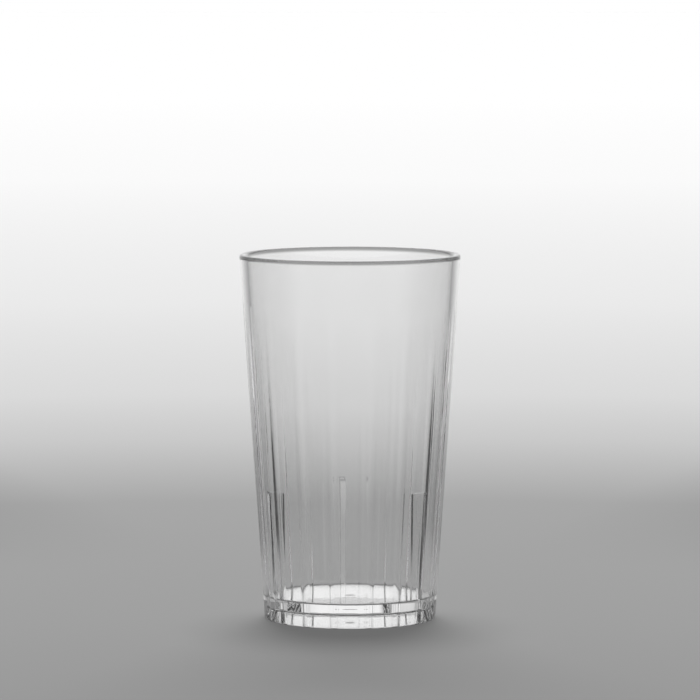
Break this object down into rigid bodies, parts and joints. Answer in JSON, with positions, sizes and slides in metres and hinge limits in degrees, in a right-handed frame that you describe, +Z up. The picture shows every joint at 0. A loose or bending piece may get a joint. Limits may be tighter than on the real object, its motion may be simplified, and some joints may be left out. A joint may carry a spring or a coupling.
{
  "type": "plastic tumbler",
  "caption": "Clear tapered drinking tumbler with shallow outside flutes, a rounded lip, stacking ribs inside and a recessed base on a foot ring.",
  "frame": {"origin": "centre of the foot ring, on the plane that the tumbler stands on", "axes": "+Z up along the tumbler's axis, -Y towards the viewer of the picture, +X to the viewer's right"},
  "size_m": [0.0782, 0.0782, 0.1294],
  "materials": {
    "clear_plastic": "clear, colourless, moulded to a high gloss"
  },
  "bodies": {
    "root": {"tumbler_body": "clear_plastic"}
  },
  "joints": []
}
